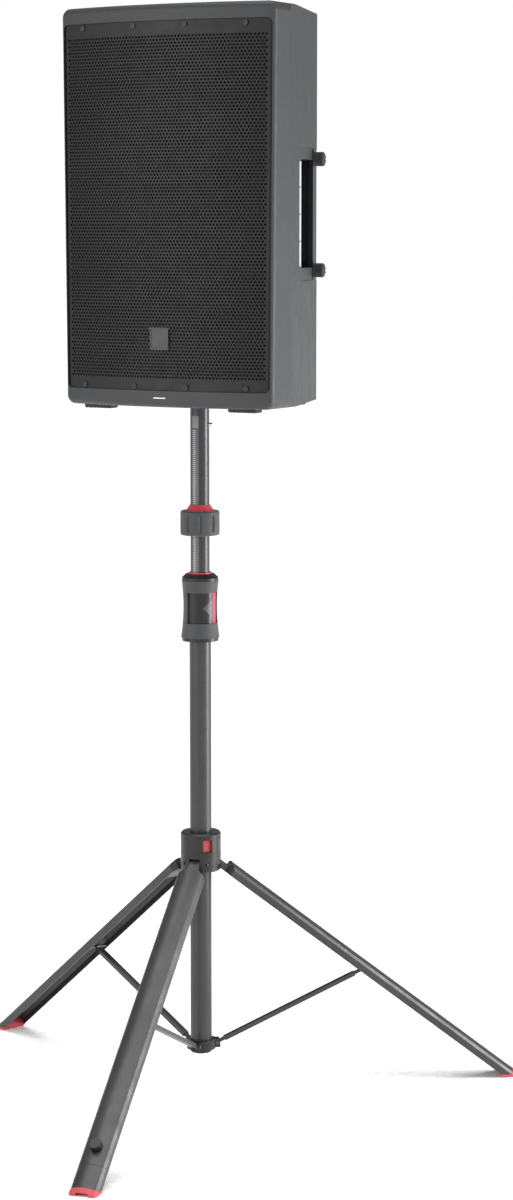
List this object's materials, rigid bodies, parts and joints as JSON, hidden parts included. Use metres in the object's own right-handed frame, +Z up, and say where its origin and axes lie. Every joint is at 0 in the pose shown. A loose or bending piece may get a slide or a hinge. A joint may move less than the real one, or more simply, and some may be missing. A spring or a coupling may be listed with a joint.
{
  "type": "pa speaker",
  "caption": "Powered loudspeaker cabinet with a bowed perforated grille and corner handles, on a telescopic tripod stand with folding braced legs.",
  "frame": {"origin": "on the floor, at the middle of the whole object's footprint", "axes": "+Z up along the mast; the cabinet's grille faces -Y"},
  "size_m": [1.0659, 1.0267, 2.004],
  "materials": {
    "cabinet_plastic": "fine leather-grain texture",
    "grille_steel": "black powder coat",
    "black_foam": "open cell",
    "black_screw": "black oxide",
    "badge_metal": "dark brushed, blank",
    "light_lens": "diffusing",
    "driver_steel": "black stove paint",
    "cone_paper": "pressed pulp, doped",
    "soft_rubber": "matt",
    "horn_plastic": "satin",
    "coil_copper": "enamelled wire",
    "panel_metal": "black powder coat",
    "heat_sink_aluminium": "black anodised",
    "board_green": "solder mask",
    "jack_plastic": "moulded",
    "knob_plastic": "soft touch",
    "stand_metal": "gunmetal satin powder coat",
    "mast_metal": "dark satin",
    "hub_plastic": "glass filled",
    "grip_rubber": "moulded, soft",
    "red_plastic": "satin",
    "red_rubber": "moulded",
    "window_plastic": "polished",
    "pin_chrome": "bright"
  },
  "bodies": {
    "base": {"base_tube": "stand_metal", "base_plug": "hub_plastic", "bottom_collar": "hub_plastic", "lower_pins": "pin_chrome", "clamp_core": "hub_plastic", "clamp_ring": "red_plastic", "clamp_panel": "window_plastic", "clamp_flag": "red_plastic"},
    "clamp": {"clamp_sleeve": "grip_rubber"},
    "hub": {"hub_body": "hub_plastic", "leg_pins": "pin_chrome"},
    "hub_lock": {"hub_button": "red_plastic"},
    "front_leg": {"leg_front": "stand_metal"},
    "right_leg": {"leg_right": "stand_metal", "foot_right": "red_rubber"},
    "left_leg": {"leg_left": "stand_metal", "foot_left": "red_rubber"},
    "extension": {"leg_extension": "stand_metal", "foot_front": "red_rubber"},
    "level_knob": {"levelling_knob": "hub_plastic"},
    "front_brace": {"brace_front": "stand_metal"},
    "right_brace": {"brace_right": "stand_metal"},
    "left_brace": {"brace_left": "stand_metal"},
    "mast": {"mast_tube": "mast_metal", "mast_bush": "hub_plastic"},
    "retaining_pin": {"safety_pin": "pin_chrome"},
    "stop": {"stop_cone": "red_plastic"},
    "stop_grip": {"stop_ring": "grip_rubber"},
    "cabinet": {"front_baffle": "cabinet_plastic", "rear_shell": "cabinet_plastic", "side_handles": "cabinet_plastic", "side_pegs": "soft_rubber", "grille": "grille_steel", "grille_foam": "black_foam", "grille_screws": "black_screw", "badge": "badge_metal", "light_bar": "light_lens", "woofer_frame": "driver_steel", "woofer_screws": "black_screw", "woofer_surround": "soft_rubber", "woofer_spider": "cone_paper", "woofer_magnet": "driver_steel", "horn": "horn_plastic", "compression_driver": "driver_steel", "port_tubes": "horn_plastic", "pole_socket": "horn_plastic", "cabinet_feet": "soft_rubber", "amp_panel": "panel_metal", "heat_sink": "heat_sink_aluminium", "amp_board": "board_green", "input_jacks": "jack_plastic", "power_inlet": "jack_plastic"},
    "cone": {"woofer_cone": "cone_paper", "dust_cap": "cone_paper", "voice_coil": "coil_copper"},
    "knob_1": {"gain_knob_1": "knob_plastic"},
    "knob_2": {"gain_knob_2": "knob_plastic"},
    "knob_3": {"master_knob": "knob_plastic"},
    "rocker": {"power_switch": "jack_plastic"},
    "button": {"select_button": "knob_plastic"}
  },
  "joints": [
    {"name": "hub_slide", "type": "slide", "parent": "base", "child": "hub", "axis": [0, 0, 1], "range_m": [0, 0.319]},
    {"name": "hub_button_press", "type": "slide", "parent": "hub", "child": "hub_lock", "axis": [-0.766, 0.6428, 0], "range_m": [0, 0.003], "stiffness_N_per_m": 1500},
    {"name": "front_leg_fold", "type": "hinge", "parent": "hub", "child": "front_leg", "pos_m": [0.06239, 0.06921, 0.445], "axis": [0.9816, 0.1908, 0], "range_deg": [0, 48.97]},
    {"name": "front_brace_fold", "type": "hinge", "parent": "front_leg", "child": "front_brace", "pos_m": [0.11625, -0.20786, 0.22153], "axis": [0.9816, 0.1908, 0], "range_deg": [-117.99, 0]},
    {"name": "right_leg_fold", "type": "hinge", "parent": "hub", "child": "right_leg", "pos_m": [0.07847, 0.11588, 0.445], "axis": [-0.6561, 0.7547, 0], "range_deg": [0, 48.97]},
    {"name": "right_brace_fold", "type": "hinge", "parent": "right_leg", "child": "right_brace", "pos_m": [0.29148, 0.30105, 0.22153], "axis": [-0.6561, 0.7547, 0], "range_deg": [-117.99, 0]},
    {"name": "left_leg_fold", "type": "hinge", "parent": "hub", "child": "left_leg", "pos_m": [0.03001, 0.10646, 0.445], "axis": [-0.3256, -0.9455, 0], "range_deg": [0, 48.97]},
    {"name": "left_brace_fold", "type": "hinge", "parent": "left_leg", "child": "left_brace", "pos_m": [-0.23686, 0.19835, 0.22153], "axis": [-0.3256, -0.9455, 0], "range_deg": [-117.99, 0]},
    {"name": "leg_extend", "type": "slide", "parent": "front_leg", "child": "extension", "axis": [0.1503, -0.773, -0.6164], "range_m": [0, 0.1]},
    {"name": "levelling_knob_turn", "type": "hinge", "parent": "front_leg", "child": "level_knob", "pos_m": [0.16044, -0.43518, 0.06311], "axis": [0.1176, -0.6051, 0.7874], "range_deg": [-180, 540]},
    {"name": "mast_lift", "type": "slide", "parent": "base", "child": "mast", "axis": [0, 0, 1], "range_m": [-0.06, 0.3]},
    {"name": "clamp_twist", "type": "hinge", "parent": "base", "child": "clamp", "pos_m": [0.05696, 0.09718, 0.91], "axis": [0, 0, 1], "range_deg": [-35, 0]},
    {"name": "stop_slide", "type": "slide", "parent": "mast", "child": "stop", "axis": [0, 0, 1], "range_m": [0, 0.12]},
    {"name": "stop_twist", "type": "hinge", "parent": "stop", "child": "stop_grip", "pos_m": [0.05696, 0.09718, 1.068], "axis": [0, 0, 1], "range_deg": [-60, 0]},
    {"name": "pin_pull", "type": "slide", "parent": "mast", "child": "retaining_pin", "axis": [0.9659, 0.2588, 0], "range_m": [0, 0.045]},
    {"name": "cabinet_swivel", "type": "hinge", "parent": "mast", "child": "cabinet", "pos_m": [0.05696, 0.09718, 1.297], "axis": [0, 0, 1], "continuous": true},
    {"name": "cone_travel", "type": "slide", "parent": "cabinet", "child": "cone", "axis": [0, -1, 0], "range_m": [-0.006, 0.006], "stiffness_N_per_m": 2500},
    {"name": "gain_1_turn", "type": "hinge", "parent": "cabinet", "child": "knob_1", "pos_m": [0.01496, 0.30118, 1.882], "axis": [0, 1, 0], "range_deg": [-150, 150]},
    {"name": "gain_2_turn", "type": "hinge", "parent": "cabinet", "child": "knob_2", "pos_m": [0.05696, 0.30118, 1.882], "axis": [0, 1, 0], "range_deg": [-150, 150]},
    {"name": "master_turn", "type": "hinge", "parent": "cabinet", "child": "knob_3", "pos_m": [0.09896, 0.30118, 1.882], "axis": [0, 1, 0], "range_deg": [-150, 150]},
    {"name": "power_rock", "type": "hinge", "parent": "cabinet", "child": "rocker", "pos_m": [0.08896, 0.29718, 1.397], "axis": [1, 0, 0], "range_deg": [-8, 8]},
    {"name": "button_press", "type": "slide", "parent": "cabinet", "child": "button", "axis": [0, -1, 0], "range_m": [0, 0.0018], "stiffness_N_per_m": 400}
  ],
  "couplings": [
    {"joint": "front_leg_fold", "follows": "hub_slide", "rad_per_m": 2.678},
    {"joint": "front_brace_fold", "follows": "hub_slide", "rad_per_m": -6.4545},
    {"joint": "right_leg_fold", "follows": "hub_slide", "rad_per_m": 2.678},
    {"joint": "right_brace_fold", "follows": "hub_slide", "rad_per_m": -6.4545},
    {"joint": "left_leg_fold", "follows": "hub_slide", "rad_per_m": 2.678},
    {"joint": "left_brace_fold", "follows": "hub_slide", "rad_per_m": -6.4545}
  ]
}
